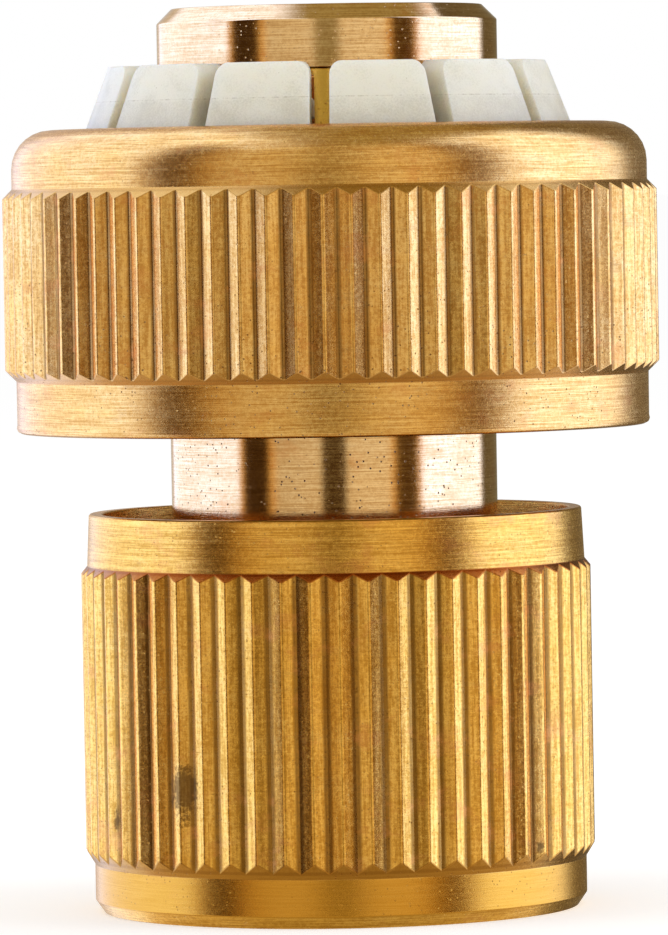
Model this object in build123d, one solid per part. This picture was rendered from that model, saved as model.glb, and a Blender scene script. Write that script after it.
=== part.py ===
# Waterstop connector for a garden hose, turned from brass.
#
# The hose enters from below, and the spigot that the connector clicks onto enters from above.
# Millimetres, +Z up. The origin is the centre of the nut's bottom face, on which it stands.
#
# From below to above: a fluted compression nut squeezes a split grip onto the hose, over a
# barbed tail. The tail is screwed into the socket body, which holds the waterstop valve. A
# fluted collar slides on the body's barrel against a spring, and keeps a ring of nylon fingers
# pressed in, so that their hooks reach through the barrel's windows and hold the spigot.

from build123d import *
import os
from math import cos, radians, sin, sqrt, tan

# Clearances
running_gap = 0.08  # radial, where one piece slides in another
seat_gap = 0.10  # between faces that meet only when they are loaded
fit_gap = 0.05  # between pieces that are screwed or pressed together
free_gap = 0.20  # radial, where a piece only has to pass another
stop_gap = 0.30  # left at the end of a travel
coil_gap = 0.03  # between a spring's ground end and the moving piece that it pushes

# Travels
collar_travel = 4.0
valve_travel = 4.0

# Compression nut
nut_height = 22.79
nut_wall = 0.75  # of the lower band
nut_band_step = 0.01  # the rim is this much larger in radius than the lower band
nut_band_flare = 0.14  # the upper band widens by this towards the flutes
nut_flute_rise = 0.53  # crests above the lower band
nut_flute_depth = 0.27
nut_flutes = 56
nut_flute_turn = 0.6  # degrees
nut_lower_band = 2.78
nut_upper_band = 3.30
nut_lower_cone = 0.86
nut_upper_cone = 0.63
nut_rim_chamfer = (0.63, 0.52)  # inwards, downwards
nut_foot_chamfer = (0.50, 0.72)  # inwards, upwards
nut_bore_radius = 13.35
thread_depth = 0.70  # the nut's thread fills the ring between its bore and the flange
hose_hole_radius = 10.40
hose_hole_chamfer = 0.40
hose_hole_land = 2.20
grip_cone_step = 0.55  # between the bore and the upper end of the cone that closes the grip
grip_cone_top = 8.50

# Grip, a split ring of plastic
grip_rise = 0.30  # above the hose hole's land
grip_proud = 0.70  # the grip's bore is this much smaller in radius than the hose hole
grip_tooth_depth = 0.40
grip_tooth_pitch = 1.60
grip_teeth = 4
grip_split = 2.0
grip_slot = 1.0
grip_slots = 6

# Hose tail
nut_overhang = 5.30  # the nut's rim stands this far above the tail's flange
flange_thickness = 4.50
flange_chamfer = 0.40
tail_length = 10.20
tail_bore_radius = 4.40
tail_wall = 1.90
barb_proud = 0.35  # crests outside the neck
barb_depth = 0.75
barb_pitch = 2.60
barbs = 3
spring_ledge_drop = 1.0  # below the flange
spring_ledge = 1.00  # radial, what the valve's spring stands on

# Socket body
barrel_wall = 1.23
neck_gap = 4.70  # visible neck between the nut and the collar
nose_rise = 6.79  # above the collar's lip
nose_height = 3.56
nose_rim = 0.40  # the nose stands out from the barrel
nose_chamfer = 0.86
socket_radius = 8.10
mouth_ease = 0.20  # the mouth is wider than the socket, in radius
mouth_land = 0.15  # between the windows and the mouth's step
mouth_chamfer = 0.25
socket_depth = 22.07
web_land = 1.50
seat_width = 2.10  # radial, of the valve's seat
chamber_inset = 0.80  # the valve chamber is narrower than the socket, in radius
window_width = 4.00
window_margin = 0.35  # above and below the hook
window_count = 6

# Wires and seals
wire_sides = 10  # corners that stand for a round section
coil_bends = 20  # straight lengths in one turn of a spring

# Seal between the tail and the body
seal_wire_radius = 0.50

# Valve
head_play = 1.10  # radial, between the valve's head and its chamber
head_thickness = 1.60
o_ring_radius = 0.89
stem_radius = 1.80
stem_button_step = 1.00
stem_button_height = 0.70
shoulder_step = 0.30  # radial, between the shoulder and the valve's hole
hub_step = 0.70  # radial, from the shoulder in to the hub
shoulder_height = 0.60
fin_count = 4
fin_thickness = 1.30
spider_play = 0.70  # radial, between the spider and the socket
spider_height = 3.00
spider_chamfer = 0.80
valve_wire_radius = 0.45
valve_spring_gap = 0.60  # radial, between the spring and its pocket
valve_spring_turns = 5.25

# Retaining ring and spring washer
ring_inset = 1.10  # above the collar's bottom edge
ring_thickness = 1.00
ring_proud = 1.47  # outside the barrel
ring_opening = 4.0
groove_depth = 0.60
washer_thickness = 1.00

# Collar spring
collar_wire_radius = 0.70
spring_side_gap = 1.20  # radial, inside and outside the spring
collar_spring_turns = 4.25

# Release collar
collar_height = 17.28
collar_wall = 1.69  # of the lower band
collar_band_flare = 0.08  # the upper band is this much larger in radius
collar_flute_rise = 0.68  # crests above the lower band
collar_flute_depth = 0.37
collar_flutes = 75
collar_flute_turn = 0.0  # degrees
collar_lower_band = 2.77
collar_upper_band = 3.35
collar_lower_cone = 1.26
collar_upper_cone = 0.60
collar_shoulder_fillet = 2.25
collar_foot_chamfer = 0.20
lip_thickness = 2.17
lip_play = 0.30  # radial, between the lip and the fingers' shanks

# Claw ring, moulded in one piece
claw_turn = 13.0  # degrees
finger_count = 12
finger_slot = 1.10
finger_rise = 3.53  # above the collar's lip
finger_play = 0.67  # radial, between the fingers and the barrel
finger_thickness = 2.60
finger_flare = 1.30  # the heads stand out this far
finger_head_drop = 0.07  # widest point of the heads, below the lip's top
finger_lean = 21.0  # degrees from upright, above the widest point
finger_bevel = 0.26
finger_round = 0.42
claw_base_height = 2.40
hook_reach = 0.80  # into the socket
hook_width = 3.20
hook_height = 2.10
hook_face = 0.90  # height of the hook's upright end
hook_drop = 1.10  # below the fingers' tops
crest_flat_share = 0.07  # flat left on a flute's crest, as a share of the pitch

# Radii of the body and the valve that follow from the sizes above
barrel_radius = socket_radius + barrel_wall
nose_radius = barrel_radius + nose_rim
mouth_radius = socket_radius + mouth_ease
chamber_radius = socket_radius - chamber_inset
valve_hole_radius = chamber_radius - seat_width
head_radius = chamber_radius - head_play
shoulder_radius = valve_hole_radius - shoulder_step
hub_radius = shoulder_radius - hub_step
stem_button_radius = stem_radius + stem_button_step
spider_radius = socket_radius - spider_play
ring_outer_radius = barrel_radius + ring_proud

# Radii of the claws, the collar's spring and the collar, each from the one inside it
hook_inner_radius = socket_radius - hook_reach
finger_inner_radius = barrel_radius + finger_play
finger_shank_radius = finger_inner_radius + finger_thickness
finger_head_radius = finger_shank_radius + finger_flare
lip_bore_radius = finger_shank_radius + lip_play
collar_spring_radius = finger_shank_radius + spring_side_gap + collar_wire_radius
collar_bore_radius = collar_spring_radius + collar_wire_radius + spring_side_gap
collar_lower_band_radius = collar_bore_radius + collar_wall
collar_upper_band_radius = collar_lower_band_radius + collar_band_flare
collar_crest_radius = collar_lower_band_radius + collar_flute_rise

# Radii of the tail, the grip and the nut
tail_neck_radius = tail_bore_radius + tail_wall
barb_crest_radius = tail_neck_radius + barb_proud
barb_root_radius = barb_crest_radius - barb_depth
spring_pocket_radius = tail_bore_radius + spring_ledge
valve_spring_radius = spring_pocket_radius - valve_spring_gap - valve_wire_radius
flange_radius = nut_bore_radius - thread_depth
grip_cone_radius = nut_bore_radius - grip_cone_step
grip_inner_radius = hose_hole_radius - grip_proud
nut_lower_band_radius = nut_bore_radius + nut_wall
nut_upper_band_radius = nut_lower_band_radius + nut_band_step
nut_crest_radius = nut_lower_band_radius + nut_flute_rise

# Heights that follow
z_flange_top = nut_height - nut_overhang
z_flange_bottom = z_flange_top - flange_thickness
z_tail_end = z_flange_bottom - tail_length
z_ledge = z_flange_bottom - spring_ledge_drop
z_collar_bottom = nut_height + neck_gap
z_lip_top = z_collar_bottom + collar_height
z_lip_under = z_lip_top - lip_thickness
z_nose_top = z_lip_top + nose_rise
z_nose_bottom = z_nose_top - nose_height
z_web_top = z_nose_top - socket_depth
z_seat_top = z_web_top - web_land
z_ring_bottom = z_collar_bottom + ring_inset
z_washer_bottom = z_ring_bottom + ring_thickness
z_washer_top = z_washer_bottom + washer_thickness
z_finger_top = z_lip_top + finger_rise
z_hook_top = z_finger_top - hook_drop
z_hook_bottom = z_hook_top - hook_height
z_window_bottom = z_hook_bottom - window_margin
z_window_top = z_hook_top + window_margin
z_mouth_foot = z_window_top + mouth_land

# The valve's O-ring rests against the 45 degree seat, just clear of it.
o_ring_centre_radius = hub_radius + o_ring_radius
z_o_ring = (z_seat_top + valve_hole_radius - o_ring_centre_radius
            - sqrt(2) * (o_ring_radius + fit_gap))
z_hub_top = z_o_ring + o_ring_radius
z_head_top = z_o_ring - o_ring_radius
z_head_bottom = z_head_top - head_thickness
z_spider_bottom = z_web_top + valve_travel + stop_gap / 2
z_spider_top = z_spider_bottom + spider_height
z_plug_top = z_head_bottom - valve_travel - stop_gap  # top of the tail's plug in the body

z_axis = Axis.Z


def turned(*corners):
    """Solid turned about the Z axis, from (radius, height) corners."""
    outline = Polyline(*[(radius, 0, height) for radius, height in corners], close=True)
    return revolve(make_face(outline), z_axis)


def ring(inner, outer, z_low, z_high):
    """Plain ring with a square section."""
    return turned((inner, z_low), (outer, z_low), (outer, z_high), (inner, z_high))


def wire_section(wire_radius):
    """Corners of a wire's section: a regular polygon about its round one."""
    step = 360 / wire_sides
    return [(wire_radius * cos(radians(i * step)), wire_radius * sin(radians(i * step)))
            for i in range(wire_sides)]


def o_ring(centre_radius, wire_radius, z_centre):
    """Round-section ring, with a polygon for its round section."""
    return turned(*[(centre_radius + out, z_centre + up) for out, up in wire_section(wire_radius)])


def around(solid, count, first=0.0):
    """Copies of a solid, evenly spaced about the Z axis."""
    return [Rot(0, 0, first + 360 / count * i) * solid for i in range(count)]


def block(x_low, x_high, width, z_low, z_high):
    """Box that reaches out along X, centred on it."""
    size_x, size_z = x_high - x_low, z_high - z_low
    return Pos((x_low + x_high) / 2, 0, (z_low + z_high) / 2) * Box(size_x, width, size_z)


def coil_spring(centre_radius, wire_radius, turns, z_low, z_high):
    """Open coil with both ends ground flat, bent from short straight lengths."""
    bends = round(turns * coil_bends)
    points = []
    for i in range(bends + 1):
        angle = radians(360 / coil_bends * i)
        height = z_low + (z_high - z_low) * i / bends
        points.append((centre_radius * cos(angle), centre_radius * sin(angle), height))
    path = Polyline(*points)
    start = Plane(path @ 0, z_dir=path % 0)
    section = make_face(Polyline(*wire_section(wire_radius), close=True))
    coil = sweep(start * section, path=path, transition=Transition.RIGHT)
    coil = split(coil, bisect_by=Plane.XY.offset(z_low), keep=Keep.TOP)
    return split(coil, bisect_by=Plane.XY.offset(z_high), keep=Keep.BOTTOM)


def flutes(count, turn, crest_radius, depth, foot, head):
    """Ring of straight V flutes, cut back to cones at both ends.

    foot and head are (height where the cone starts, its length, radius of the band there).
    """
    root_radius = crest_radius - depth
    ridge_radius = root_radius + depth / (1 - crest_flat_share)
    step = 360 / count
    corners = []
    for i in range(count):
        for radius, angle in ((ridge_radius, i * step), (root_radius, (i + 0.5) * step)):
            corners.append((radius * cos(radians(angle)), radius * sin(radians(angle))))
    z_foot, foot_length, foot_radius = foot
    z_head, head_length, head_radius = head
    star = extrude(make_face(Polyline(*corners, close=True)), z_head - z_foot)
    blank = turned((0, z_foot), (foot_radius, z_foot), (crest_radius, z_foot + foot_length),
                   (crest_radius, z_head - head_length), (head_radius, z_head), (0, z_head))
    return Pos(0, 0, z_foot) * Rot(0, 0, turn) * star & blank


def compression_nut():
    """Nut with a fluted outside, a cone for the grip and a hole for the hose."""
    rim_in, rim_down = nut_rim_chamfer
    foot_in, foot_up = nut_foot_chamfer
    z_foot = nut_lower_band
    z_head = nut_height - nut_upper_band
    head_band_radius = nut_upper_band_radius + nut_band_flare
    core = turned(
        (0, 0), (nut_lower_band_radius - foot_in, 0), (nut_lower_band_radius, foot_up),
        (nut_lower_band_radius, z_foot), (head_band_radius, z_head),
        (nut_upper_band_radius, nut_height - rim_down),
        (nut_upper_band_radius - rim_in, nut_height), (0, nut_height))
    grooved = flutes(nut_flutes, nut_flute_turn, nut_crest_radius, nut_flute_depth,
                     (z_foot, nut_lower_cone, nut_lower_band_radius),
                     (z_head, nut_upper_cone, head_band_radius))
    hollow = turned(
        (0, 0), (hose_hole_radius + hose_hole_chamfer, 0), (hose_hole_radius, hose_hole_chamfer),
        (hose_hole_radius, hose_hole_land), (grip_cone_radius, grip_cone_top),
        (nut_bore_radius, grip_cone_top), (nut_bore_radius, nut_height), (0, nut_height))
    return core + grooved - hollow


def hose_grip():
    """Split ring that the nut's cone closes onto the hose."""
    z_low = hose_hole_land + grip_rise
    z_high = z_flange_bottom - seat_gap
    slope = (grip_cone_radius - hose_hole_radius) / (grip_cone_top - hose_hole_land)
    foot_radius = hose_hole_radius + grip_rise * slope - seat_gap
    shank_radius = flange_radius - fit_gap
    z_shank = hose_hole_land + (shank_radius + seat_gap - hose_hole_radius) / slope
    body = turned((grip_inner_radius, z_low), (foot_radius, z_low), (shank_radius, z_shank),
                  (shank_radius, z_high), (grip_inner_radius, z_high))
    for i in range(grip_teeth):
        z_tooth = z_low + grip_tooth_depth + i * grip_tooth_pitch
        body += turned((grip_inner_radius + fit_gap, z_tooth),
                       (grip_inner_radius - grip_tooth_depth, z_tooth + grip_tooth_depth / 2),
                       (grip_inner_radius + fit_gap, z_tooth + grip_tooth_pitch * 0.8))
    reach = nut_bore_radius
    body -= block(0, reach, grip_split, z_low, z_high)
    slots = around(block(0, reach, grip_slot, z_low, z_shank), grip_slots)
    return body - slots[1:]


def hose_tail():
    """Barbed tail with the nut's flange, and a plug that is screwed into the body."""
    plug_radius = chamber_radius - fit_gap
    profile = [(tail_bore_radius, z_tail_end), (barb_root_radius, z_tail_end)]
    for i in range(barbs):
        z_crest = z_tail_end + (i + 1) * barb_pitch
        profile.append((barb_crest_radius, z_crest))
        profile.append((barb_root_radius if i + 1 < barbs else tail_neck_radius, z_crest))
    profile += [
        (tail_neck_radius, z_flange_bottom), (flange_radius - flange_chamfer, z_flange_bottom),
        (flange_radius, z_flange_bottom + flange_chamfer), (flange_radius, z_flange_top - flange_chamfer),
        (flange_radius - flange_chamfer, z_flange_top), (plug_radius, z_flange_top),
        (plug_radius, z_plug_top), (spring_pocket_radius, z_plug_top),
        (spring_pocket_radius, z_ledge), (tail_bore_radius, z_ledge)]
    return turned(*profile)


def seal_pocket():
    """Outer radius and height of the pocket for the seal, in the body's lower end."""
    outer = chamber_radius + 2 * seal_wire_radius + fit_gap
    return outer, 2 * seal_wire_radius + fit_gap


def tail_seal():
    """O-ring between the body's lower end and the tail's flange."""
    centre_radius = chamber_radius + seal_wire_radius
    return o_ring(centre_radius, seal_wire_radius, z_flange_top + seal_wire_radius)


def socket_body():
    """Turned body: neck, valve chamber, seat, barrel with windows, and nose."""
    pocket_radius, pocket_height = seal_pocket()
    groove_radius = barrel_radius - groove_depth
    z_groove_low, z_groove_high = z_ring_bottom - coil_gap, z_washer_bottom + coil_gap
    z_seat_foot = z_seat_top - (chamber_radius - valve_hole_radius)
    body = turned(
        (pocket_radius, z_flange_top), (barrel_radius, z_flange_top),
        (barrel_radius, z_groove_low), (groove_radius, z_groove_low),
        (groove_radius, z_groove_high), (barrel_radius, z_groove_high),
        (barrel_radius, z_nose_bottom), (nose_radius, z_nose_bottom),
        (nose_radius, z_nose_top - nose_chamfer), (nose_radius - nose_chamfer, z_nose_top),
        (mouth_radius + mouth_chamfer, z_nose_top), (mouth_radius, z_nose_top - mouth_chamfer),
        (mouth_radius, z_mouth_foot), (socket_radius, z_mouth_foot),
        (socket_radius, z_web_top), (valve_hole_radius, z_web_top), (valve_hole_radius, z_seat_top),
        (chamber_radius, z_seat_foot), (chamber_radius, z_flange_top + pocket_height),
        (pocket_radius, z_flange_top + pocket_height))
    window = block(0, nose_radius, window_width, z_window_bottom, z_window_top)
    return body - around(window, window_count, claw_turn)


def valve_plunger():
    """Spider that the spigot pushes, with guide fins and a stem."""
    guide_radius = valve_hole_radius - running_gap
    z_shoulder_top = z_hub_top + shoulder_height
    body = turned(
        (0, z_head_bottom - stem_button_height), (stem_button_radius, z_head_bottom - stem_button_height),
        (stem_button_radius, z_head_bottom), (stem_radius, z_head_bottom), (stem_radius, z_hub_top),
        (shoulder_radius, z_hub_top), (shoulder_radius, z_shoulder_top), (stem_radius, z_shoulder_top),
        (stem_radius, z_spider_top), (0, z_spider_top))
    fin_outline = turned(
        (0, z_hub_top), (shoulder_radius, z_hub_top), (guide_radius, z_shoulder_top),
        (guide_radius, z_spider_bottom), (spider_radius, z_spider_bottom),
        (spider_radius, z_spider_top - spider_chamfer), (spider_radius - spider_chamfer, z_spider_top),
        (0, z_spider_top))
    fin = block(0, spider_radius, fin_thickness, z_hub_top, z_spider_top)
    for wing in around(fin, fin_count):
        body += wing & fin_outline
    return body


def valve_head():
    """Disc that closes the valve, fixed on the stem from below."""
    bore = stem_radius + fit_gap
    return turned((bore, z_head_bottom), (head_radius, z_head_bottom), (head_radius, z_head_top),
                  (hub_radius, z_head_top), (hub_radius, z_hub_top), (bore, z_hub_top))


def release_collar():
    """Sliding collar: fluted band, rounded shoulder, and the lip that holds the fingers in."""
    z_foot = z_collar_bottom + collar_lower_band
    z_head = z_lip_top - collar_upper_band
    core = turned(
        (0, z_collar_bottom), (collar_lower_band_radius - collar_foot_chamfer, z_collar_bottom),
        (collar_lower_band_radius, z_collar_bottom + collar_foot_chamfer),
        (collar_lower_band_radius, z_foot), (collar_upper_band_radius, z_head),
        (collar_upper_band_radius, z_lip_top), (0, z_lip_top))
    shoulder = core.edges().filter_by(GeomType.CIRCLE).group_by(z_axis)[-1]
    core = fillet(shoulder, collar_shoulder_fillet)
    grooved = flutes(collar_flutes, collar_flute_turn, collar_crest_radius, collar_flute_depth,
                     (z_foot, collar_lower_cone, collar_lower_band_radius),
                     (z_head, collar_upper_cone, collar_upper_band_radius))
    lip_edge_radius = finger_head_radius + finger_head_drop + seat_gap
    z_cone_foot = z_lip_top - (lip_edge_radius - lip_bore_radius)
    hollow = turned(
        (0, z_collar_bottom), (collar_bore_radius, z_collar_bottom), (collar_bore_radius, z_lip_under),
        (lip_bore_radius, z_lip_under), (lip_bore_radius, z_cone_foot),
        (lip_edge_radius, z_lip_top), (0, z_lip_top))
    return core + grooved - hollow


def hook():
    """Hook on a finger's inner side, sloped above for the spigot and square below."""
    outline = Polyline((hook_inner_radius, 0, z_hook_bottom), (finger_inner_radius + fit_gap, 0, z_hook_bottom),
                       (finger_inner_radius + fit_gap, 0, z_hook_top),
                       (hook_inner_radius, 0, z_hook_bottom + hook_face), close=True)
    return extrude(make_face(outline), hook_width / 2, both=True)


def claw_ring():
    """Nylon ring of sloped fingers, every second one with a hook."""
    z_root = z_washer_top + claw_base_height
    z_head = z_lip_top - finger_head_drop
    z_flare = z_head - (finger_head_radius - finger_shank_radius)
    tip_radius = finger_head_radius - (z_finger_top - z_head) * tan(radians(finger_lean))
    bore_radius = barrel_radius + seat_gap
    body = turned(
        (bore_radius, z_washer_top), (finger_shank_radius, z_washer_top),
        (finger_shank_radius, z_flare), (finger_head_radius, z_head), (tip_radius, z_finger_top),
        (finger_inner_radius, z_finger_top), (finger_inner_radius, z_root), (bore_radius, z_root))
    slot = block(0, finger_head_radius + finger_slot, finger_slot, z_root, z_finger_top)
    body -= around(slot, finger_count, claw_turn + 180 / finger_count)
    body += around(hook(), window_count, claw_turn)
    tops = [f for f in body.faces().filter_by(z_axis) if abs(f.center().Z - z_finger_top) < seat_gap]
    body = fillet([e for f in tops for e in f.edges().filter_by(GeomType.LINE)], finger_round)

    def on_slope(edge):
        ends = sorted((edge @ 0, edge @ 1), key=lambda point: point.Z)
        middle = edge.center()
        outer = (middle.X ** 2 + middle.Y ** 2) ** 0.5 > (finger_inner_radius + tip_radius) / 2
        return outer and ends[0].Z > z_flare + seat_gap and ends[1].Z - ends[0].Z > finger_rise / 2

    return chamfer([e for e in body.edges() if on_slope(e)], finger_bevel)


def retaining_ring():
    """Snap ring in the body's groove, open on one side."""
    inner = barrel_radius - groove_depth + fit_gap
    body = ring(inner, ring_outer_radius, z_ring_bottom, z_washer_bottom)
    return body - block(0, ring_outer_radius, ring_opening, z_ring_bottom, z_washer_bottom)


def spring_washer():
    """Washer that carries the collar's spring and the claw ring."""
    return ring(barrel_radius + seat_gap, collar_bore_radius - free_gap, z_washer_bottom, z_washer_top)


pieces = {
    "compression_nut": compression_nut(),
    "hose_grip": hose_grip(),
    "hose_tail": hose_tail(),
    "tail_seal": tail_seal(),
    "socket_body": socket_body(),
    "valve_plunger": valve_plunger(),
    "valve_head": valve_head(),
    "valve_o_ring": o_ring(o_ring_centre_radius, o_ring_radius, z_o_ring),
    "valve_spring": coil_spring(valve_spring_radius, valve_wire_radius, valve_spring_turns,
                                z_ledge, z_head_bottom - coil_gap),
    "retaining_ring": retaining_ring(),
    "spring_washer": spring_washer(),
    "collar_spring": coil_spring(collar_spring_radius, collar_wire_radius, collar_spring_turns,
                                 z_washer_top, z_lip_under - coil_gap),
    "claw_ring": claw_ring(),
    "release_collar": release_collar(),
}

os.makedirs("parts", exist_ok=True)
for name, solid in pieces.items():
    export_step(solid, f"parts/{name}.step")
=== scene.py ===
# %% [markdown]
# # A brass waterstop connector for a garden hose
# The model comes in as a fixed frame: every solid has its real size and place, in metres, with
# the nut's bottom face at height 0. This lesson gives the pieces the look of the real ones. Most
# of them were turned on a lathe, so most of them are made here by the same idea: a profile goes
# round an axis. The comments before each step say what the real thing is and how it is made.

# %% Load the frame
from math import atan2, cos, degrees, hypot, pi, radians, sin

import bpy
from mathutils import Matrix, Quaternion, Vector


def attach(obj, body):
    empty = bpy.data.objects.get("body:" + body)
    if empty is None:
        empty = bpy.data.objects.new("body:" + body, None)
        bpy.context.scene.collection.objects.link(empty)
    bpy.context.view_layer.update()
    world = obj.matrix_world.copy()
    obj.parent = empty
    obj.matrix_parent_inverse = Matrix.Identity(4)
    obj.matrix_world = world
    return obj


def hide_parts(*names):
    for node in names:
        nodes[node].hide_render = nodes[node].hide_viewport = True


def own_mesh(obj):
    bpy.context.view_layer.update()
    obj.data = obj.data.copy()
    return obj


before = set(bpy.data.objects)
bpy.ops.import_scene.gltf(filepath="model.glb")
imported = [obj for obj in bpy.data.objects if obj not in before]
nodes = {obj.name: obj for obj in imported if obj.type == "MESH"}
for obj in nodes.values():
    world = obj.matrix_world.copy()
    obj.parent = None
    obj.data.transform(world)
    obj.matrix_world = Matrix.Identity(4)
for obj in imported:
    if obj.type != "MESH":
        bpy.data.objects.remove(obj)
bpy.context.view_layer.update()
MM = 0.001

# %% [markdown]
# ## The camera
# The picture was taken with a long lens, level with the upper part of the collar: the nose is
# seen from just below its rim, and the nut from above. So the eye stands at the height where
# circles shrink to lines, and looks slightly down. The camera leans by a degree.

# %% Camera
eye_distance = 446 * MM
eye_height = 41.4 * MM
aim = Vector((-0.01 * MM, 0, 25.2 * MM))
lean = radians(-1.0)
picture_height = 53.53 * MM
sensor = 36

eye = Vector((aim.x, -eye_distance, eye_height))
camera = bpy.data.objects.new("camera", bpy.data.cameras.new("camera"))
bpy.context.scene.collection.objects.link(camera)
camera.data.sensor_width = sensor
camera.data.lens = sensor * eye_distance / picture_height
camera.data.clip_start, camera.data.clip_end = 10 * MM, 60
camera.location = eye
camera.rotation_mode = "QUATERNION"
camera.rotation_quaternion = (aim - eye).to_track_quat("-Z", "Y") @ Quaternion((0, 0, 1), lean)
bpy.context.scene.camera = camera
bpy.context.scene.view_settings.view_transform = "Standard"
print("lens in mm:", round(camera.data.lens, 1))

# %% [markdown]
# ## Shader maths
# A finish is a formula of a few noises. Written as nodes one by one it can't be read, so a small
# class wraps a socket, and Python's own signs add the Math nodes. Every other node comes from
# one method, which sets the node's settings first and its sockets after.


# %% A socket that takes part in sums
class Wire:
    """An output socket of one node tree. Without a socket, it only adds nodes."""

    def __init__(self, tree, socket=None):
        self.tree = tree
        self.socket = socket

    def node(self, kind, settings=None, sockets=None, out=0):
        """Adds a node and returns one of its outputs."""
        made = self.tree.nodes.new("ShaderNode" + kind)
        for key, value in (settings or {}).items():
            if key == "stops":
                set_stops(made.color_ramp, value)
            else:
                setattr(made, key, value)
        for key, value in (sockets or {}).items():
            if isinstance(value, Wire):
                self.tree.links.new(value.socket, made.inputs[key])
            else:
                made.inputs[key].default_value = value
        return Wire(self.tree, made.outputs[out])

    def maths(self, operation, *values):
        """A Math node on these values, which are numbers or wires."""
        return self.node("Math", {"operation": operation}, dict(enumerate(values)))

    def __add__(self, other):
        return self.maths("ADD", self, other)

    def __sub__(self, other):
        return self.maths("SUBTRACT", self, other)

    def __rsub__(self, other):
        return self.maths("SUBTRACT", other, self)

    def __mul__(self, other):
        return self.maths("MULTIPLY", self, other)

    def __truediv__(self, other):
        return self.maths("DIVIDE", self, other)

    def ramp(self, low, high):
        """0 below low, 1 above high and smooth between them. low may be the larger."""
        settings = {"interpolation_type": "SMOOTHSTEP"}
        if low < high:
            return self.node("MapRange", settings, {0: self, 1: low, 2: high, 3: 0.0, 4: 1.0})
        return self.node("MapRange", settings, {0: self, 1: high, 2: low, 3: 1.0, 4: 0.0})

    def blend(self, first, second):
        """A colour: first where this is 0, second where it is 1."""
        return self.node("Mix", {"data_type": "RGBA"}, {0: self, 6: first, 7: second}, out=2)

    def stretch(self, x, y, z):
        """This place, with each direction scaled."""
        return self.node("VectorMath", {"operation": "MULTIPLY"}, {0: self, 1: (x, y, z)})

    def length(self):
        return self.node("VectorMath", {"operation": "LENGTH"}, {0: self}, out=1)

    def parts(self):
        """This place's x, y and z."""
        apart = self.node("SeparateXYZ", {}, {0: self}).socket.node
        return [Wire(self.tree, output) for output in apart.outputs]

    def band(self, low, high, soft):
        """1 between low and high, falling to 0 over soft on either side."""
        return self.ramp(low - soft, low) * self.ramp(high + soft, high)

    def noise(self, scale, detail, roughness):
        sockets = {"Vector": self, "Scale": scale, "Detail": detail, "Roughness": roughness}
        return self.node("TexNoise", {}, sockets)

    def cells(self, scale):
        """Distance to the nearest of many scattered points."""
        return self.node("TexVoronoi", {}, {"Vector": self, "Scale": scale})


def set_stops(ramp, stops):
    """Gives a colour ramp its (place, colour) stops, in rising order."""
    (first, first_colour), *middle, (last, last_colour) = stops
    ramp.elements[0].position, ramp.elements[0].color = first, first_colour
    ramp.elements[1].position, ramp.elements[1].color = last, last_colour
    for place, colour in middle:
        ramp.elements.new(place).color = colour


def paint(red, green, blue):
    """A colour as a screen shows it, 0 to 255, turned into the light that it stands for."""
    shares = [value / 255 for value in (red, green, blue)]
    return (*[((s + 0.055) / 1.055) ** 2.4 if s > 0.04 else s / 12.92 for s in shares], 1.0)


def grey(level):
    return (level, level, level, 1.0)


# %% [markdown]
# ## The floor and the sky
# The photograph has a plain white ground. The floor is pale and lit by an even sky, and it adds a
# little light of its own, so that it reaches white while it still shows the connector's shadow.
# The sky lights the object a bit less than it shows itself, so pale plastic doesn't burn out.

# %% Floor and sky
WHITE = grey(1.0)
sky_level = 0.72
floor_size = 40.0
floor_colour = grey(0.86)
floor_glow = 0.36

bpy.ops.object.select_all(action="DESELECT")
bpy.ops.mesh.primitive_plane_add(size=floor_size, location=(0, 0, 0))
floor = bpy.context.object
floor.name = "floor"
floor.visible_glossy = False
floor_paint = bpy.data.materials.new("floor_paint")
floor_paint.use_nodes = True
floor_shader = floor_paint.node_tree.nodes["Principled BSDF"]
for socket, value in (("Base Color", floor_colour), ("Roughness", 1.0),
                      ("Specular IOR Level", 0.0), ("Emission Color", WHITE),
                      ("Emission Strength", floor_glow)):
    floor_shader.inputs[socket].default_value = value
floor.data.materials.append(floor_paint)

world = bpy.data.worlds.new("studio")
bpy.context.scene.world = world
world.use_nodes = True
world.node_tree.nodes.clear()
sky = Wire(world.node_tree)
# Outputs 0, 3 and 6 of Light Path: rays from the camera, off gloss and through glass.
seen, mirrored, passed = [sky.node("LightPath", out=number) for number in (0, 3, 6)]
shown = seen.maths("MAXIMUM", seen.maths("MAXIMUM", seen, mirrored), passed)
glow = sky.node("Background", {}, {"Color": WHITE, "Strength": shown * (1 - sky_level) + sky_level})
output = world.node_tree.nodes.new("ShaderNodeOutputWorld")
world.node_tree.links.new(glow.socket, output.inputs["Surface"])
print("floor and sky are in place")

# %% [markdown]
# ## The reflections
# Polished brass has no look of its own: it shows what stands round it. In the photograph that is
# a wide white panel on either side, a dim room in front, and dark gaps between them that draw
# upright dark bands on the nose and the neck, and the camera's own dark body straight ahead. A
# drum of cards round the object holds all of that: its wall is a strip of brightness against the
# angle, seen only in the metal and by nothing else.

# %% Drum of reflection cards
drum_radius = 160 * MM
drum_low, drum_high = -110 * MM, 230 * MM
drum_sides = 128
card_strength = 4.0


def card_paint(name, brightness):
    """Light that only shows in reflections. brightness makes its colour from the place in mm."""
    material = bpy.data.materials.new(name)
    material.use_nodes = True
    tree = material.node_tree
    tree.nodes.clear()
    place = Wire(tree).node("TexCoord", out=3).stretch(1 / MM, 1 / MM, 1 / MM)
    light = place.node("Emission", {}, {"Color": brightness(place), "Strength": card_strength})
    end = tree.nodes.new("ShaderNodeOutputMaterial")
    tree.links.new(light.socket, end.inputs["Surface"])
    return material


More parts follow.
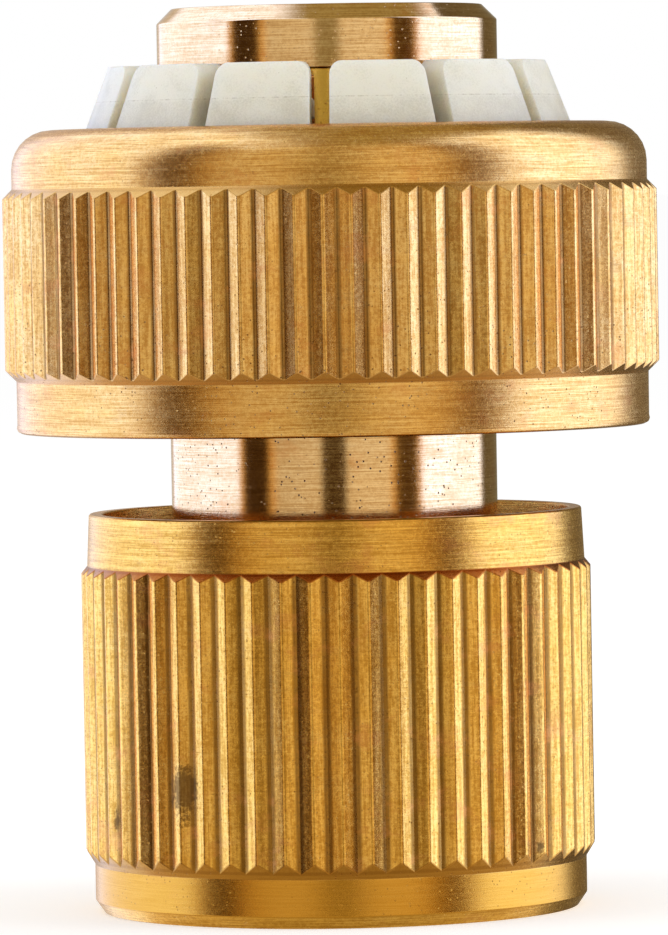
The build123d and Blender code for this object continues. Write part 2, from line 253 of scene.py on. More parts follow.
def only_reflected(card, material):
    """Makes a stage card that nothing but a glossy surface sees."""
    card.data.materials.append(material)
    card.visible_camera = card.visible_diffuse = card.visible_shadow = False
    card.visible_transmission = card.visible_volume_scatter = False


def tone(level, warmth=0.0):
    """A card's colour as a share of the full strength. Warmth takes away blue and some green."""
    return (level, level * (1 - 0.1 * warmth), level * (1 - 0.5 * warmth), 1.0)


# A bright panel turns brass nearly white in a photograph, so its light is made bluish here.
left_panel, right_panel = (0.36, 0.46, 0.76, 1.0), (0.42, 0.54, 0.90, 1.0)
left_gap, right_gap = (0.016, 0.009, 0.003, 1.0), (0.030, 0.018, 0.006, 1.0)
warm_edge = (0.22, 0.145, 0.05, 1.0)

# Degrees round from the front, left negative, with the brightness there.
wall_stops = [
    (-180, tone(0.14)), (-158, tone(0.18)), (-152, left_panel), (-70, left_panel), (-67, warm_edge),
    (-63, left_gap), (-47, left_gap), (-43, warm_edge), (-39, tone(0.19, 0.5)),
    (-10, tone(0.21, 0.5)), (-6, tone(0.095, 1.0)), (6, tone(0.095, 1.0)), (10, tone(0.22, 0.5)),
    (38, tone(0.24, 0.5)), (41, warm_edge), (45, right_gap), (58, right_gap), (61, warm_edge),
    (65, right_panel), (122, right_panel), (128, tone(0.04, 0.8)), (165, tone(0.05, 0.8)),
    (180, tone(0.14))]

# The camera's body on the wall in front, in mm: half its width, its foot, its head and its blur.
camera_half, camera_foot, camera_head, camera_blur = 21, 12, 26, 3
# Across the lid, in mm: where the left panel ends and where the right one begins.
lid_left, lid_right = (-65, -20), (98, 128)


def wall_brightness(place):
    x, y, z = place.parts()
    turn = x.maths("ARCTAN2", x, y * -1) / (2 * pi) + 0.5
    stops = [((angle + 180) / 360, colour) for angle, colour in wall_stops]
    strip = place.node("ValToRGB", {"stops": stops}, {0: turn})
    across = x.band(-camera_half, camera_half, camera_blur)
    camera_body = across * z.band(camera_foot, camera_head, camera_blur) * y.ramp(0, -1)
    return camera_body.blend(strip, left_gap)


def lid_brightness(place):
    x = place.parts()[0]
    left = x.ramp(*lid_left).blend(left_panel, tone(0.10, 1.2))
    return x.ramp(*lid_right).blend(left, right_panel)


def ground_brightness(place):
    """Dim below the object and paler further out."""
    return place.length().ramp(20, 160).blend(tone(0.12, 1.0), tone(0.24, 0.3))


bpy.ops.mesh.primitive_cylinder_add(
    vertices=drum_sides, radius=drum_radius, depth=drum_high - drum_low,
    end_fill_type="NOTHING", location=(0, 0, (drum_high + drum_low) / 2))
wall = bpy.context.object
wall.name = "card_wall"
bpy.ops.object.transform_apply()
only_reflected(wall, card_paint("card_wall", wall_brightness))
for name, height, brightness in (("card_lid", drum_high, lid_brightness),
                                 ("card_ground", drum_low, ground_brightness)):
    bpy.ops.mesh.primitive_circle_add(vertices=drum_sides, radius=drum_radius, fill_type="NGON",
                                      location=(0, 0, height))
    bpy.context.object.name = name
    only_reflected(bpy.context.object, card_paint(name, brightness))
print("wall, lid and ground stand in a drum of radius", drum_radius / MM, "mm")

# %% [markdown]
# ## Two soft lamps
# The plastic claws don't mirror the cards, so two large lamps stand for the white panels there.
# They only shape the light a little: most of it comes from the sky.

# %% Lamps
lamp_size = 0.5
lamp_side, lamp_front, lamp_height = 0.6, -0.15, 0.35
lamp_aim = Vector((0, 0, 0.03))
for side, power in ((-1, 1.0), (1, 1.2)):
    lamp = bpy.data.lights.new("panel", "AREA")
    lamp.shape = "RECTANGLE"
    lamp.size = lamp.size_y = lamp_size
    lamp.energy = power
    panel = bpy.data.objects.new("panel", lamp)
    bpy.context.scene.collection.objects.link(panel)
    panel.location = (side * lamp_side, lamp_front, lamp_height)
    panel.rotation_mode = "QUATERNION"
    panel.rotation_quaternion = (lamp_aim - panel.location).to_track_quat("-Z", "Y")
    panel.visible_glossy = False
print("lamps are in place")

# %% [markdown]
# ## Turning a piece
# A lathe cuts a profile while the piece spins. Here a circle of points is pushed along the same
# profile instead: each step extrudes the last ring and scales it about the axis. The profile is
# closed, so the last ring lands on the first, and merging them makes the skin closed too.


# %% Lathe helper
WELD = 0.002  # mm: points closer than this are one
SMOOTH = 35   # degrees: a flatter edge is shaded smooth


def pick(*pieces):
    """Selects these pieces alone and makes the first one active."""
    bpy.ops.object.select_all(action="DESELECT")
    for piece in pieces:
        piece.select_set(True)
    bpy.context.view_layer.objects.active = pieces[0]


def lathe(name, corners, columns, turn=0.0):
    """Closed turned piece from (radius, height) corners in mm, counted from any of them. Its
    first column of points is at the back, moved on by turn degrees."""
    radius, height = corners[0]
    bpy.ops.object.select_all(action="DESELECT")
    bpy.ops.mesh.primitive_circle_add(vertices=columns, radius=radius * MM,
                                      location=(0, 0, height * MM))
    piece = bpy.context.object
    piece.name = piece.data.name = name
    piece.rotation_euler.z = radians(turn)
    bpy.ops.object.transform_apply()
    bpy.ops.object.mode_set(mode="EDIT")
    bpy.ops.mesh.select_all(action="SELECT")
    for next_radius, next_height in corners[1:] + corners[:1]:
        rise = {"value": (0, 0, (next_height - height) * MM)}
        bpy.ops.mesh.extrude_region_move(TRANSFORM_OT_translate=rise)
        scale = next_radius / radius
        bpy.ops.transform.resize(value=(scale, scale, 1), center_override=(0, 0, 0))
        radius, height = next_radius, next_height
    bpy.ops.mesh.select_all(action="SELECT")
    bpy.ops.mesh.remove_doubles(threshold=WELD * MM)
    bpy.ops.mesh.normals_make_consistent(inside=False)
    bpy.ops.object.mode_set(mode="OBJECT")
    return piece


def around_axis(point):
    """A point's radius and height in mm and its angle in degrees."""
    x, y, z = point.co / MM
    return hypot(x, y), z, degrees(atan2(y, x))


def select_nothing(piece, kind):
    """Leaves the piece active, with this kind of part to select and none selected."""
    bpy.ops.object.mode_set(mode="OBJECT")
    pick(piece)
    bpy.ops.object.mode_set(mode="EDIT")
    bpy.ops.mesh.select_mode(type=kind)
    bpy.ops.mesh.select_all(action="DESELECT")
    bpy.ops.object.mode_set(mode="OBJECT")


def select_points(piece, wanted):
    """Selects the points whose radius, height and angle pass the test."""
    select_nothing(piece, "VERT")
    for point in piece.data.vertices:
        point.select = wanted(*around_axis(point))
    bpy.ops.object.mode_set(mode="EDIT")


def select_edges(piece, wanted):
    """Selects the edges whose two ends, each (radius, height, angle), pass the test."""
    select_nothing(piece, "EDGE")
    ends = [around_axis(point) for point in piece.data.vertices]
    for edge in piece.data.edges:
        edge.select = wanted(*[ends[index] for index in edge.vertices])
    bpy.ops.object.mode_set(mode="EDIT")


def arc(centre_radius, centre_height, radius, start, end, steps):
    """Corners along an arc of a profile, between two angles in degrees."""
    angles = [radians(start + (end - start) * step / steps) for step in range(steps + 1)]
    return [(centre_radius + radius * cos(a), centre_height + radius * sin(a)) for a in angles]


def finish_edges(piece, width, segments=2, sharp=28, smooth=SMOOTH):
    """Rounds the sharp edges and shades the rest smooth, as tumbling and wear do."""
    bpy.ops.object.mode_set(mode="OBJECT")
    pick(piece)
    bpy.ops.object.shade_smooth_by_angle(angle=radians(smooth))
    rounding = piece.modifiers.new("rounding", "BEVEL")
    rounding.width = width * MM
    rounding.segments = segments
    rounding.limit_method = "ANGLE"
    rounding.angle_limit = radians(sharp)
    rounding.harden_normals = True
    bpy.ops.object.modifier_apply(modifier="rounding")
    return len(piece.data.polygons)


print("lathe is ready")

# %% [markdown]
# ## Flutes
# The grip of the collar and of the nut is a ring of straight V flutes, rolled into a plain band
# that is a little larger than its neighbours, and then cut back by a cone at either end. The
# turned blank has two columns of points for each flute. Pressing every second column in to the
# root, and sliding its ends along the cones, gives the zigzag where flute and cone meet.


# %% Flute helper
def corners_of(low, high, radius_low, radius_high):
    """The two corners of a cone in a profile."""
    return [(radius_low, low), (radius_high, high)]


def press_flutes(piece, count, turn, root, cones):
    """Presses every second column in to the root and slides its ends along the cones, which are
    given as (low, high, radius at low, radius at high)."""
    near = 0.02
    step = 180 / count
    for low, high, radius_low, radius_high in cones:
        crest = max(radius_low, radius_high)
        ring_height = high if radius_high == crest else low
        slide = (root - crest) * (high - low) / (radius_high - radius_low)

        def is_root(radius, height, angle):
            column = round((angle - turn) / step)
            on_ring = abs(radius - crest) < near and abs(height - ring_height) < near
            return on_ring and column % 2 == 1

        select_points(piece, is_root)
        bpy.ops.transform.resize(value=(root / crest, root / crest, 1), center_override=(0, 0, 0))
        bpy.ops.transform.translate(value=(0, 0, slide * MM))
    bpy.ops.object.mode_set(mode="OBJECT")


def ease_flutes(piece, width):
    """Rounds the crests, and on the larger collar the roots as well. Its bore, whose columns are
    long edges too, only gets more of them."""
    least_radius, least_rise = 14.3, 5

    def is_long(one, other):
        return min(one[0], other[0]) > least_radius and abs(one[1] - other[1]) > least_rise

    select_edges(piece, is_long)
    bpy.ops.mesh.bevel(offset=width * MM, segments=3, clamp_overlap=False)


# %% [markdown]
# ## Release collar
# The collar is the part that fingers pull. It has 75 flutes, a rounded shoulder above them and an
# inner lip with a cone, which holds the claws in. It is turned from bar: profile first, then the
# flutes, then a slight rounding of each edge. Its bottom edge has a small rolled bead.

# %% Collar
collar_flutes, collar_turn = 75, 0.0
collar_bottom, collar_top = 27.49, 44.77
collar_root, collar_crest = 18.30, 18.77
collar_foot = (30.46, 31.13, 18.09, collar_crest)
collar_head = (40.82, 41.42, collar_crest, 18.17)
bead = [(17.85, 0.0), (18.05, 0.10), (18.12, 0.28), (18.08, 0.48)]
collar_profile = [
    (16.40, collar_bottom), *[(radius, collar_bottom + rise) for radius, rise in bead],
    *corners_of(*collar_foot), *corners_of(*collar_head), *arc(15.92, 42.52, 2.25, 0, 90, 7),
    (14.07, collar_top), (12.90, 43.60), (12.90, 42.60), (16.40, 42.60)]
collar = lathe("collar_turned", collar_profile, 2 * collar_flutes, collar_turn - 90)
press_flutes(collar, collar_flutes, collar_turn, collar_root, (collar_foot, collar_head))
ease_flutes(collar, 0.15)
print("collar faces:", finish_edges(collar, 0.05))

# %% [markdown]
# ## Compression nut
# The nut is the same work on a smaller blank, with 56 flutes and an open rim. Inside, a thread
# climbs the bore. A thread is a small triangle that turns and rises together, which is just what
# the Screw modifier does. Its pitch is 1.5 mm, the distance that one turn moves the nut.

# %% Nut
nut_flutes, nut_turn = 56, 0.6
nut_root, nut_crest = 14.28, 14.63
nut_foot = (2.78, 3.64, 14.10, nut_crest)
nut_head = (19.36, 19.82, nut_crest, 14.25)
nut_profile = [
    (10.80, 0.0), (13.60, 0.0), (14.10, 0.72), *corners_of(*nut_foot), *corners_of(*nut_head),
    (14.11, 22.70), (14.03, 22.79), (13.42, 22.79), (13.35, 22.72), (13.35, 8.50), (12.80, 8.50),
    (10.40, 2.20), (10.40, 0.40)]
nut = lathe("nut_turned", nut_profile, 2 * nut_flutes, nut_turn - 90)
press_flutes(nut, nut_flutes, nut_turn, nut_root, (nut_foot, nut_head))
ease_flutes(nut, 0.13)
print("nut faces:", finish_edges(nut, 0.05))

# %% Thread helper
pitch = 1.5


def thread(name, root, crest, start, turns):
    """Ridge of a right-hand thread, between two radii. It starts on the right, at this height."""
    half_width, steps_a_turn = 0.31, 72
    bpy.ops.object.select_all(action="DESELECT")
    bpy.ops.mesh.primitive_circle_add(vertices=3, radius=half_width * MM, location=(0, 0, 0))
    ridge = bpy.context.object
    ridge.name = ridge.data.name = name
    corners = [(root, start - half_width), (root, start + half_width), (crest, start)]
    for point, (radius, height) in zip(ridge.data.vertices, corners):
        point.co = (radius * MM, 0, height * MM)
    screw = ridge.modifiers.new("screw", "SCREW")
    screw.axis = "Z"
    screw.angle = 2 * pi
    screw.screw_offset = pitch * MM
    screw.iterations = turns
    screw.steps = screw.render_steps = steps_a_turn
    screw.use_merge_vertices = False
    bpy.ops.object.modifier_apply(modifier="screw")
    bpy.ops.object.mode_set(mode="EDIT")
    bpy.ops.mesh.select_all(action="SELECT")
    bpy.ops.mesh.fill_holes(sides=3)
    bpy.ops.mesh.select_all(action="SELECT")
    bpy.ops.mesh.normals_make_consistent(inside=False)
    bpy.ops.object.mode_set(mode="OBJECT")
    bpy.ops.object.shade_smooth_by_angle(angle=radians(SMOOTH))
    return ridge


nut_thread_start = 11.6
nut_thread = thread("nut_thread", 13.42, 12.78, nut_thread_start, 7)
print("nut thread faces:", len(nut_thread.data.polygons))

# %% [markdown]
# ## Socket body
# The body is the long turned core: a neck that shows between nut and collar, a barrel that the
# collar slides on, and the bevelled nose at the top. The tap's spigot goes down its bore. Six
# windows through the barrel let the claws reach in. They are milled after turning, so here a
# boolean cuts them, with one box copied round the axis.

# %% Socket body
hook_count, claw_turn = 6, 13.0
barrel, nose_foot = 9.33, 48.00
body_profile = [
    (8.35, 17.49), (barrel, 17.49), (barrel, 28.56), (8.73, 28.56), (8.73, 29.62),
    (barrel, 29.62), (barrel, nose_foot - 0.08), (barrel + 0.08, nose_foot), (9.73, nose_foot),
    (9.73, 50.70), (8.87, 51.56), (8.55, 51.56), (8.30, 51.31), (8.30, 47.70), (8.10, 47.70),
    (8.10, 29.49), (5.20, 29.49), (5.20, 27.99), (7.30, 25.89), (7.30, 18.54), (8.35, 18.54)]
body = lathe("body_turned", body_profile, 144)
print("body faces:", finish_edges(body, 0.05))


# %% Cutting helper
def box_at(low, high):
    """Box between two corners, in mm."""
    middle = [(a + b) / 2 * MM for a, b in zip(low, high)]
    bpy.ops.object.select_all(action="DESELECT")
    bpy.ops.mesh.primitive_cube_add(size=1, location=middle)
    box = bpy.context.object
    box.scale = [(b - a) * MM for a, b in zip(low, high)]
    bpy.ops.object.transform_apply()
    return box


def copies_round(first, count, turn):
    """Copies a piece round the axis and joins the copies into one."""
    made = []
    for index in range(count):
        copy = bpy.data.objects.new(first.name, first.data.copy())
        bpy.context.scene.collection.objects.link(copy)
        copy.rotation_euler.z = radians(turn + 360 / count * index)
        made.append(copy)
    bpy.data.objects.remove(first)
    pick(*made)
    bpy.ops.object.transform_apply()
    bpy.ops.object.join()
    return made[0]


def cut(piece, cutter):
    """Takes the cutter's shape out of the piece and throws the cutter away."""
    pick(piece)
    bite = piece.modifiers.new("cut", "BOOLEAN")
    bite.operation = "DIFFERENCE"
    bite.solver = "EXACT"
    bite.object = cutter
    bpy.ops.object.modifier_apply(modifier="cut")
    bpy.data.objects.remove(cutter)


window = box_at((5, -2.0, 44.75), (12, 2.0, 47.55))
cut(body, copies_round(window, hook_count, claw_turn))
bpy.ops.object.shade_smooth_by_angle(angle=radians(SMOOTH))
print("body with windows:", len(body.data.polygons), "faces")

# %% [markdown]
# ## Hose tail
# The tail goes up into the hose. Its barbs rise slowly and drop square, so a hose slips on and
# holds. Above them is the flange that the nut screws on, with the other half of the thread, half
# a pitch off the nut's.

# %% Tail
tail_foot, tail_bore, stem = 2.79, 4.40, 6.30
barbs, barb_length, barb_root, barb_crest = 3, 2.60, 5.90, 6.65
tail_profile = [(tail_bore, tail_foot), (barb_root, tail_foot)]
for barb in range(1, barbs + 1):
    height = tail_foot + barb_length * barb
    below = barb_root if barb < barbs else stem
    tail_profile += [(barb_crest, height - 0.12), (barb_crest, height), (below, height)]
tail_profile += [
    (stem, 12.99), (12.25, 12.99), (12.65, 13.39), (12.65, 17.09), (12.25, 17.49), (7.25, 17.49),
    (7.25, 19.98), (5.40, 19.98), (5.40, 11.99), (tail_bore, 11.99)]
tail = lathe("tail_turned", tail_profile, 96)
print("tail faces:", finish_edges(tail, 0.05))
tail_thread = thread("tail_thread", 12.58, 13.20, nut_thread_start + 1.5 * pitch, 2)
print("tail thread faces:", len(tail_thread.data.polygons))

# %% [markdown]
# ## Claw ring
# The white ring is moulded in nylon: twelve sloped fingers that can bend, and a hook inside every
# second one. The ring is turned first, slots are cut through it, and the corners get the large
# soft rounding of a moulding. The turned blank's columns are set so that none runs along a slot's
# edge, which would leave slivers there.

# %% Claws
fingers, slot_half = 12, 0.55
spacing = 360 / fingers
slot_centre = claw_turn + spacing / 2
claw_columns = 96
slot_foot, claw_top = 32.99, 48.30
claw_profile = [
    (9.43, 30.59), (12.60, 30.59), (12.60, 43.40), (13.90, 44.70), (12.52, claw_top),
    (10.00, claw_top), (10.00, slot_foot), (9.43, slot_foot)]
claws = lathe("claws_moulded", claw_profile, claw_columns, slot_centre + 180 / claw_columns - 90)
slot = box_at((5, -slot_half, slot_foot), (16, slot_half, 49))
cut(claws, copies_round(slot, fingers, slot_centre))


def from_slot(radius, angle):
    """Distance in mm from the nearest slot's middle plane."""
    nearest = (angle - slot_centre + spacing / 2) % spacing - spacing / 2
    return abs(radius * sin(radians(nearest)))


def is_corner(one, other):
    """True for an edge that a finger's top and a slot's wall share."""
    near = 0.01
    on_top = min(one[1], other[1]) > claw_top - near
    on_slot = all(abs(from_slot(end[0], end[2]) - slot_half) < near for end in (one, other))
    return on_top and on_slot


select_edges(claws, is_corner)
bpy.ops.mesh.bevel(offset=0.75 * MM, segments=5, clamp_overlap=False)
print("claw faces:", finish_edges(claws, 0.28, segments=3, sharp=34, smooth=40))

# A hook's upper face slopes down to its tip, so a spigot that comes down pushes the hook outwards,
# and its flat lower face then holds the spigot.
hook_tip, tip_height = 8, 46.00
hook = box_at((7.30, -1.6, 45.10), (10.30, 1.6, 47.20))
for point in hook.data.vertices:
    if point.co.x < hook_tip * MM and point.co.z > tip_height * MM:
        point.co.z = tip_height * MM
hooks = copies_round(hook, hook_count, claw_turn)
hooks.name = hooks.data.name = "claw_hooks"
print("hook faces:", finish_edges(hooks, 0.15))


# %% [markdown]
# ## Small pieces
# The grip, the valve, the snap ring and the washer have the right shape already. A copy of each
# solid has its loose triangles merged into flat faces, and its edges eased, because no real edge
# is perfectly sharp. The two seals are made anew, as rings that are round all over.


# %% Refining helper
def copy_node(node, suffix, weld):
    """Copy of a CAD node, open in edit mode, with points closer than weld mm made one."""
    piece = bpy.data.objects.new(node + suffix, nodes[node].data.copy())
    bpy.context.scene.collection.objects.link(piece)
    pick(piece)
    bpy.ops.object.mode_set(mode="EDIT")
    bpy.ops.mesh.select_all(action="SELECT")
    bpy.ops.mesh.remove_doubles(threshold=weld * MM)
    return piece


def refine(node, width):
    """Copy of a CAD node with merged faces and slightly rounded edges."""
    piece = copy_node(node, "_eased", WELD)
    bpy.ops.mesh.dissolve_limited(angle_limit=radians(1))
    finish_edges(piece, width)
    return piece


eased = {node: refine(node, width) for node, width in (
    ("hose_grip", 0.06), ("valve_plunger", 0.08), ("valve_head", 0.08), ("retaining_ring", 0.08),
    ("spring_washer", 0.08))}
print("eased:", {name: len(piece.data.polygons) for name, piece in eased.items()})


# %% Seals
def o_ring(name, centre_radius, centre_height, radius):
    """Ring of round section, in mm."""
    bpy.ops.object.select_all(action="DESELECT")
    bpy.ops.mesh.primitive_torus_add(
        major_radius=centre_radius * MM, minor_radius=radius * MM, major_segments=72,
        minor_segments=16, location=(0, 0, centre_height * MM))
    made = bpy.context.object
    made.name = made.data.name = name
    bpy.ops.object.transform_apply()
    bpy.ops.object.shade_smooth()
    return made


valve_seal = o_ring("valve_seal", 5.09, 26.77, 0.89)
body_seal = o_ring("body_seal", 7.80, 17.99, 0.49)
print("seals:", len(valve_seal.data.polygons), len(body_seal.data.polygons))

# %% [markdown]
# The two coil springs have the right shape as solids, but they also have to shorten when the
# collar or the valve comes down on them. A copy of each is squashed towards its fixed end, and
# loses as much of its length as the joint travels.


# %% Spring helper
def coil_spring(node):
    """Smooth copy of a spring, which rides on the fitting and hides its node."""
    piece = copy_node(node, "_coiled", WELD / 2)
    bpy.ops.object.mode_set(mode="OBJECT")
    bpy.ops.object.shade_smooth_by_angle(angle=radians(50))
    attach(piece, "fitting")
    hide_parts(node)
    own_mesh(piece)
    return piece


collar_spring = coil_spring("collar_spring")
valve_spring = coil_spring("valve_spring")

# %% [markdown]
# ## Which piece moves with what
# Each new piece rides on the body of the node that it stands for, and hides that node.

# %% Bodies
for piece, ridden, node, finish in (
        (collar, "collar", "release_collar", "collar_brass"),
        (nut, "nut", "compression_nut", "nut_brass"),
        (nut_thread, "nut", None, "nut_brass"),
        (body, "fitting", "socket_body", "body_brass"),
        (tail, "fitting", "hose_tail", "body_brass"),
        (tail_thread, "fitting", None, "body_brass"),
        (claws, "fitting", "claw_ring", "claw_nylon"),
        (hooks, "fitting", None, "claw_nylon"),
        (eased["hose_grip"], "grip", "hose_grip", "grip_nylon"),
        (eased["valve_plunger"], "valve", "valve_plunger", "valve_plastic"),
        (eased["valve_head"], "valve", "valve_head", "valve_plastic"),
        (valve_seal, "valve", "valve_o_ring", "seal_rubber"),
        (body_seal, "fitting", "tail_seal", "seal_rubber"),
        (eased["retaining_ring"], "fitting", "retaining_ring", "spring_steel"),
        (eased["spring_washer"], "fitting", "spring_washer", "washer_steel")):
    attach(piece, ridden)
    if node:
        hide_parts(node)
print("pieces ride on their bodies")


# %% [markdown]
# ## Brass
# The connector is bare brass, turned and a little tarnished. One recipe serves all of it. Its
# colour runs between a bright and a middle tone, mottled by a fine grain and by short dashes that
# lie round the axis, as a polishing cloth leaves them. Cutting marks are noise squeezed along the
# axis: it changes fast with height and slowly round the piece. A brown film of tarnish gathers in
# patches, a dark line of painted shade lies in the roots of the flutes, a reddish blush shows where
# the zinc has gone, and rolled flutes have streaks along them. Pits and stains are dark and shine
# less.


# %% Brass helper
def start_finish(name, roughness, **sockets):
    """A new material: the material, its shader and a Wire that carries the place in mm."""
    material = bpy.data.materials.new(name)
    material.use_nodes = True
    shader = material.node_tree.nodes["Principled BSDF"]
    shader.inputs["Roughness"].default_value = roughness
    for key, value in sockets.items():
        shader.inputs[key.replace("_", " ")].default_value = value
    place = Wire(material.node_tree).node("TexCoord", out=3).stretch(1 / MM, 1 / MM, 1 / MM)
    return material, shader, place


def plug(wire, shader, socket):
    """Joins a wire to one of the shader's sockets."""
    wire.tree.links.new(wire.socket, shader.inputs[socket])


def dress(material, *pieces):
    """Gives the pieces this material and no other."""
    for piece in pieces:
        piece.data.materials.clear()
        piece.data.materials.append(material)


def relief(height, depth, under=None):
    """Bump from a height between 0 and 1, with its depth in mm."""
    sockets = {"Height": height, "Distance": depth * MM, "Strength": 1.0}
    if under:
        sockets["Normal"] = under
    return height.node("Bump", {}, sockets)


def pit_mask(place, z, mottle, clouds, amount):
    """Small round pits at scattered points, thinned by two noises and rare on the upper parts."""
    dots = place.cells(2.8).ramp(0.17, 0.09)
    thinned = dots * mottle.ramp(0.42, 0.5) * clouds.ramp(0.40, 0.50) * amount
    return thinned * (z.ramp(40, 30) * 0.8 + 0.2)


def flute_film(place, radius, mottle, shade, dirt, root, crest):
    """Adds streaks to the shade of the flutes and wears the dirt off their crests. Gives both
    back, with a mask of the roots' dark line, which is painted shade."""
    streaks = place.stretch(5.0, 5.0, 0.25).noise(1.0, 4, 0.7)
    inside = radius.ramp(root - 0.05, root) * radius.ramp(crest, crest - 0.04)
    rolled = (streaks * 0.5 + mottle * 0.5).ramp(0.42, 0.58)
    shade = shade * (1 - inside * 0.75) + rolled * inside * 0.75
    dirt = dirt * (1 - radius.ramp(crest - 0.05, crest) * 0.8)
    # Painted shade: a dark, mottled line along the roots of the flutes.
    root_shade = inside * radius.ramp(root + 0.13, root + 0.05) * (mottle * 1.2 + 0.1)
    return shade, dirt, root_shade


def cone_mask(z, radius, low, high, foot, head):
    """1 on the surface of a cone whose radius is foot at the low end and head at the high end."""
    slope = (head - foot) / (high - low)
    return z.band(low, high, 0.04) * (radius - (z - low) * slope - foot).ramp(-0.08, -0.03)


def stain_mask(place, ragged, centre_x, centre_z, wide, high):
    """A spot on the front with a ragged rim, of this half width and half height."""
    x, y, z = place.parts()
    across, along = (x - centre_x) / wide, (z - centre_z) / high
    squared = across * across + along * along
    away = squared.maths("SQRT", squared) + ragged * 4.0 - 2.0
    return away.ramp(1.1, 0.5) * y.ramp(-1, -3) * 0.75


def brass(name, tones, roughness, edge_tint, lines=0.004, grain=1.0, pits=0.3, flutes=None,
          dull_rings_and_painted_light=(), stains=()):
    """Turned brass in four tones: bright, middle, dim and the film of tarnish. flutes are
    (root, crest) radii. dull holds rings of another colour, each as (low, high, radius at low,
    radius at high, colour): duller tarnish on flute cones, and painted shade and painted light on
    others. stains holds dark spots as (x, z, half width, half height)."""
    bright, middle, dim, film = [paint(*screen_tone) for screen_tone in tones]
    material, shader, place = start_finish(name, roughness, Specular_Tint=edge_tint)
    z = place.parts()[2]
    radius = place.stretch(1, 1, 0).length()
    # Widths in mm: clouds 6, patches 2, mottling 0.2. Marks and dashes are thin lines round the
    # axis, the marks 30 mm long and the dashes 2.5 mm.
    clouds = place.noise(0.16, 5, 0.62)
    patches = place.stretch(0.7, 0.7, 1.6).noise(0.55, 6, 0.7)
    marks = place.stretch(0.03, 0.03, 9.0).noise(1.0, 5, 0.8)
    dashes = place.stretch(0.4, 0.4, 18.0).noise(1.0, 5, 0.7)
    mottle = place.noise(4.5, 6, 0.8)

    tint = (clouds * 0.5 + patches * 0.5).ramp(0.36, 0.66).blend(middle, bright)
    shade = (mottle * 0.3 + dashes * 0.4 + marks * 0.3).ramp(0.41, 0.59)
    dirt = (patches * 0.5 + marks * 0.3 + mottle * 0.2).ramp(0.54, 0.70) * 0.8
    # Some of these layers are painted shade and painted light, beside the real colours.
    layers = []  # what lies over metal and film, lowest first, as (mask, colour)
    if flutes:
        shade, dirt, root_shade = flute_film(place, radius, mottle, shade, dirt, *flutes)
        # The dark line in the roots is painted shade.
        layers.append((root_shade, paint(104, 62, 22)))
    blush = place.stretch(0.8, 0.8, 1.3).noise(0.42, 5, 0.65).ramp(0.54, 0.70) * 0.45
    layers.append((blush, paint(212, 138, 76)))
    # Some of these rings are painted shade and painted light, not tarnish.
    for *cone, cone_colour in dull_rings_and_painted_light:
        layers.append((cone_mask(z, radius, *cone) * (mottle * 0.6 + 0.5), cone_colour))
    colour = dirt.blend(shade.blend(dim, tint), film)
    for stain in stains:
        spot = stain_mask(place, patches * 0.5 + mottle * 0.5, *stain)
        layers.append((spot, paint(88, 60, 34)))
        dirt = dirt.maths("MAXIMUM", dirt, spot)
    hole = pit_mask(place, z, mottle, clouds, pits)
    layers.append((hole, paint(96, 50, 16)))
    for mask, layer_colour in layers:
        colour = mask.blend(colour, layer_colour)

    plug(colour, shader, "Base Color")
    plug(1 - hole * 0.2, shader, "Metallic")
    plug(dirt * 0.20 + mottle * 0.2 + (roughness - 0.1), shader, "Roughness")
    grain_depth, pit_depth = 0.004 * grain, 0.03
    bump = relief(mottle, grain_depth)
    bump = relief(dashes, grain_depth + 0.001, bump)
    bump = relief(marks, lines, bump)
    plug(relief(1 - hole, pit_depth, bump), shader, "Normal")
    return material


# %% [markdown]
# The collar and the nut are satin, and most cones at the ends of their flutes are duller. The
# nut's upper cone is painted dark red instead, as painted shade and reflection in the recess under
# its top band; its foot band is painted darker, as a painted reflection; and it has three stains.
# The body is polished and paler, has more pits, and behind the claws it is painted bright golden,
# as painted light in the slots.

# %% Three kinds of brass
collar_finish = brass(
    "collar_brass", ((252, 206, 132), (244, 186, 100), (196, 136, 62), (168, 112, 50)),
    0.26, (1.0, 0.90, 0.80, 1.0), pits=0.8, flutes=(collar_root, collar_crest),
    dull_rings_and_painted_light=((*collar_foot, paint(204, 150, 84)), (*collar_head, paint(196, 142, 66))))
nut_finish = brass(
    "nut_brass", ((254, 198, 104), (244, 181, 80), (192, 132, 46), (156, 102, 30)),
    0.25, (1.0, 0.91, 0.76, 1.0), flutes=(nut_root, nut_crest),
    # Painted shade and reflection: the dark red of the nut's upper cone, under its top band.
    dull_rings_and_painted_light=((*nut_foot, paint(170, 112, 40)), (*nut_head, paint(150, 64, 8)),
          # Painted reflection: the nut's foot band, darker and more saturated.
          (-1.0, 2.72, 14.10, 14.10, paint(206, 142, 46))),
    stains=((-8.75, 7.75, 0.80, 1.85), (-12.6, 5.6, 0.22, 0.80), (11.2, 4.0, 0.24, 0.36)))
body_finish = brass(
    "body_brass", ((250, 214, 166), (240, 196, 140), (202, 154, 98), (180, 130, 78)),
    0.10, (1.0, 0.90, 0.74, 1.0), lines=0.0015, grain=0.25, pits=1.0,
    # Painted light: the barrel behind the claws, bright golden.
    dull_rings_and_painted_light=((42.0, nose_foot - 0.08, barrel, barrel, paint(255, 206, 96)),))
dress(collar_finish, collar)
dress(nut_finish, nut, nut_thread)
dress(body_finish, body, tail, tail_thread)
print("brass is on")

# %% [markdown]
# ## Nylon, rubber and steel
# Natural nylon lets light in, so its edges glow and its faces look milky: that is subsurface
# scattering, with a faint grey speckle from the mould. The rubber is matt and black. The springs
# and the washer are stainless steel, with drawing marks along the wire.

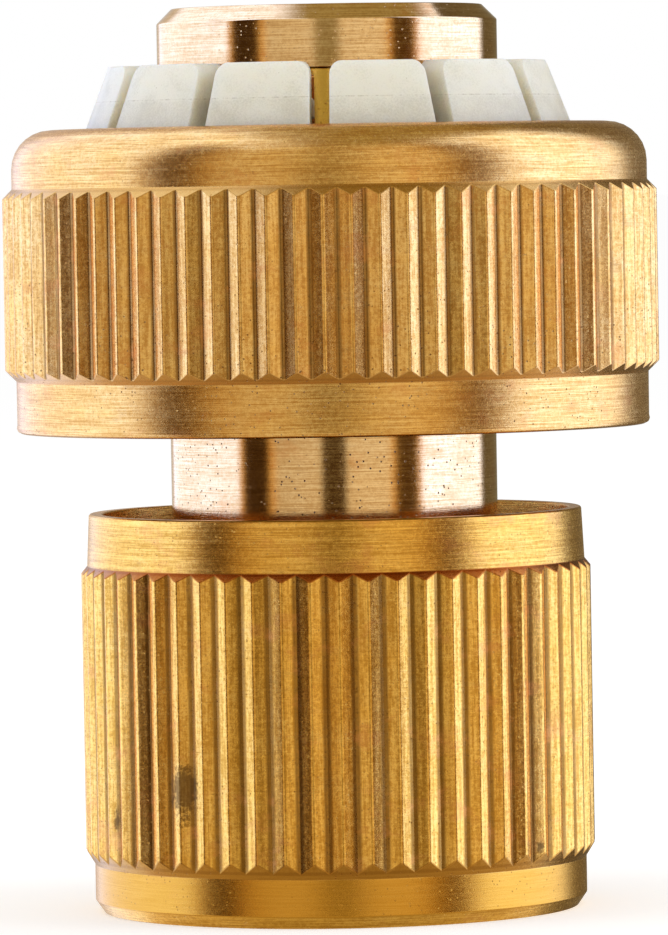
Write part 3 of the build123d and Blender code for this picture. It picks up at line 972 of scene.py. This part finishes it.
# %% Nylon
def nylon(name, pale, shaded, seam=None):
    """Milky plastic. seam is the height of the line that the mould leaves; the plastic above it is
    painted paler, as painted light on the upper slope.
    """
    material, shader, place = start_finish(
        name, 0.42, Subsurface_Weight=0.85, Subsurface_Scale=2.4 * MM,
        Subsurface_Radius=(1.0, 0.80, 0.55), Specular_IOR_Level=0.25)
    speck = place.noise(9.0, 5, 0.8)
    clouds = place.noise(0.5, 3, 0.5)
    dots = place.cells(2.4).ramp(0.14, 0.07) * speck.ramp(0.50, 0.58) * clouds.ramp(0.46, 0.56)
    shade = speck * 0.6 + clouds * 0.4
    if seam:
        z = place.parts()[2]
        # Painted light: above the seam, the upper slope of the fingers is paler.
        shade = shade + z.ramp(seam - 0.2, seam + 0.05) * 0.08
        line = z.band(seam - 0.02, seam + 0.02, 0.05) * place.stretch(2, 2, 1).noise(1.5, 5, 0.8)
        dots = dots.maths("MAXIMUM", dots, line.ramp(0.40, 0.66) * 0.7)
    tint = shade.ramp(0.36, 0.64).blend(shaded, pale)
    plug((dots * 0.6).blend(tint, paint(140, 124, 92)), shader, "Base Color")
    plug(speck * 0.2 + 0.34, shader, "Roughness")
    plug(relief(speck, 0.012), shader, "Normal")
    return material


claw_finish = nylon("claw_nylon", paint(234, 231, 217), paint(210, 206, 190), seam=46.3)
grip_finish = nylon("grip_nylon", paint(230, 228, 218), paint(214, 210, 198))
valve_finish = nylon("valve_plastic", paint(226, 224, 212), paint(210, 206, 192))
dress(claw_finish, claws, hooks)
dress(grip_finish, eased["hose_grip"])
dress(valve_finish, eased["valve_plunger"], eased["valve_head"])
print("nylon is on")


# %% Rubber and steel
def rubber():
    """Matt black rubber with a fine grain."""
    material, shader, place = start_finish("seal_rubber", 0.5)
    speck = place.noise(6.0, 4, 0.7)
    plug(speck.ramp(0.3, 0.7).blend(grey(0.012), grey(0.03)), shader, "Base Color")
    plug(speck * 0.2 + 0.42, shader, "Roughness")
    plug(relief(speck, 0.01), shader, "Normal")
    return material


def steel(name, pale, dark, roughness):
    """Bright steel with drawing marks, in two greys."""
    material, shader, place = start_finish(name, roughness, Metallic=1.0)
    drawn = place.stretch(3, 3, 0.6).noise(1.5, 4, 0.7)
    clouds = place.noise(0.4, 4, 0.6)
    plug((drawn * 0.5 + clouds * 0.5).ramp(0.35, 0.65).blend(dark, pale), shader, "Base Color")
    plug(clouds * 0.2 + (roughness - 0.1), shader, "Roughness")
    plug(relief(drawn, 0.004), shader, "Normal")
    return material


seal_finish = rubber()
wire_finish = steel("spring_steel", paint(206, 206, 204), paint(164, 164, 162), 0.26)
washer_finish = steel("washer_steel", paint(214, 213, 210), paint(176, 175, 172), 0.32)
dress(seal_finish, valve_seal, body_seal)
dress(wire_finish, eased["retaining_ring"], collar_spring, valve_spring)
dress(washer_finish, eased["spring_washer"])
print("rubber and steel are on")
